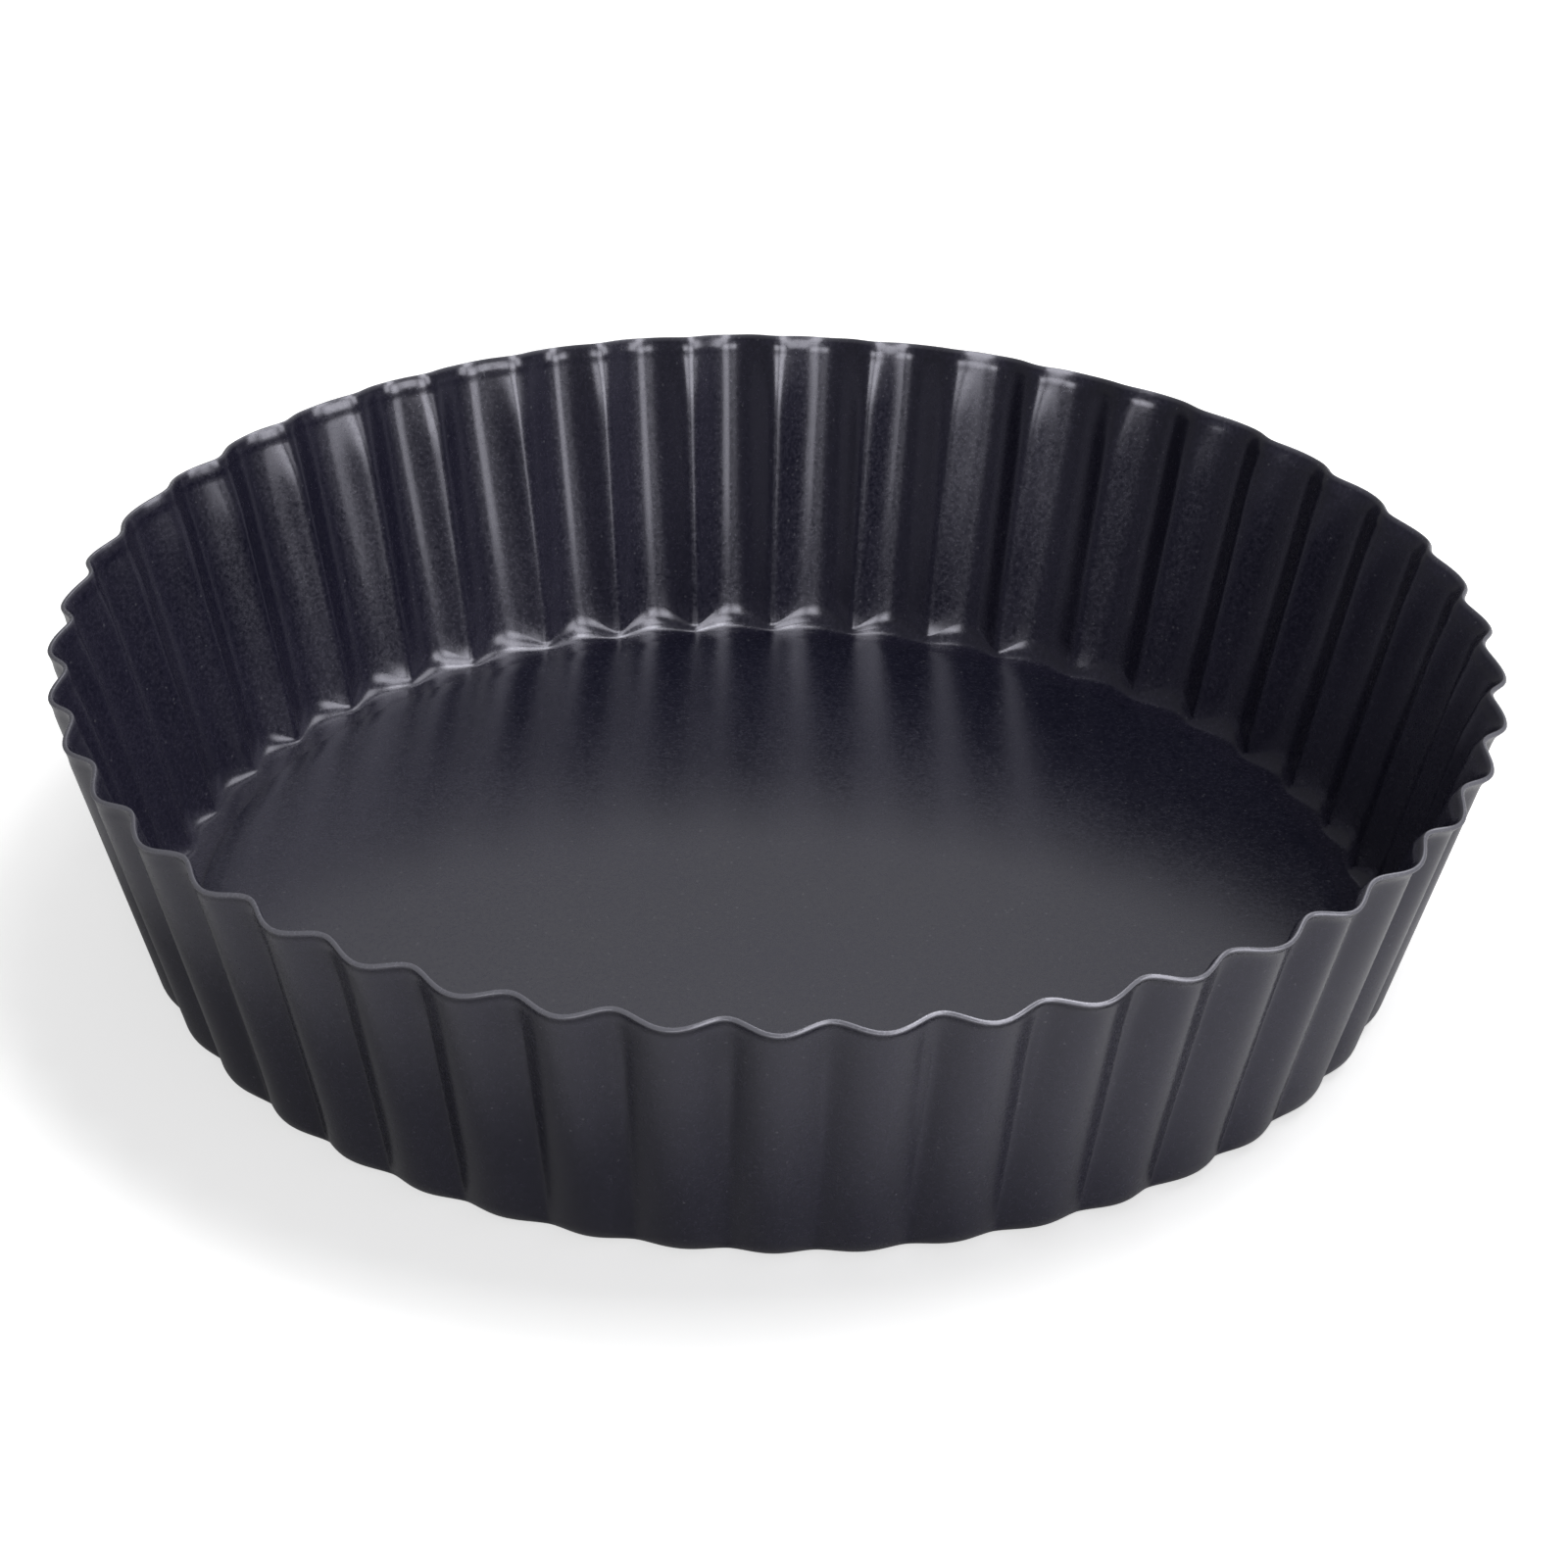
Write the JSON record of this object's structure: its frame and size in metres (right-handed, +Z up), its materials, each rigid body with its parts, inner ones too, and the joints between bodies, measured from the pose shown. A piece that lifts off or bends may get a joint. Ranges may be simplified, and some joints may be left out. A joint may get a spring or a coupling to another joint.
{
  "type": "loose-base tart pan",
  "caption": "Deep round fluted tart pan in dark non-stick sheet steel, with a loose flat base disc that lifts out through the open top.",
  "frame": {"origin": "centre of the ledge's underside, on the plane the pan rests on", "axes": "+Z up along the pan's axis and out of its open mouth; +X passes through the crest of one flute"},
  "size_m": [0.2415, 0.2416, 0.0532],
  "materials": {
    "ring_coating": "satin non-stick coating with fine speckle",
    "base_coating": "satin non-stick coating with fine speckle"
  },
  "bodies": {
    "ring": {"fluted_ring": "ring_coating"},
    "base": {"base_disc": "base_coating"}
  },
  "joints": [
    {"name": "base_lift", "type": "slide", "parent": "ring", "child": "base", "axis": [0, 0, 1], "range_m": [0, 0.065]}
  ]
}
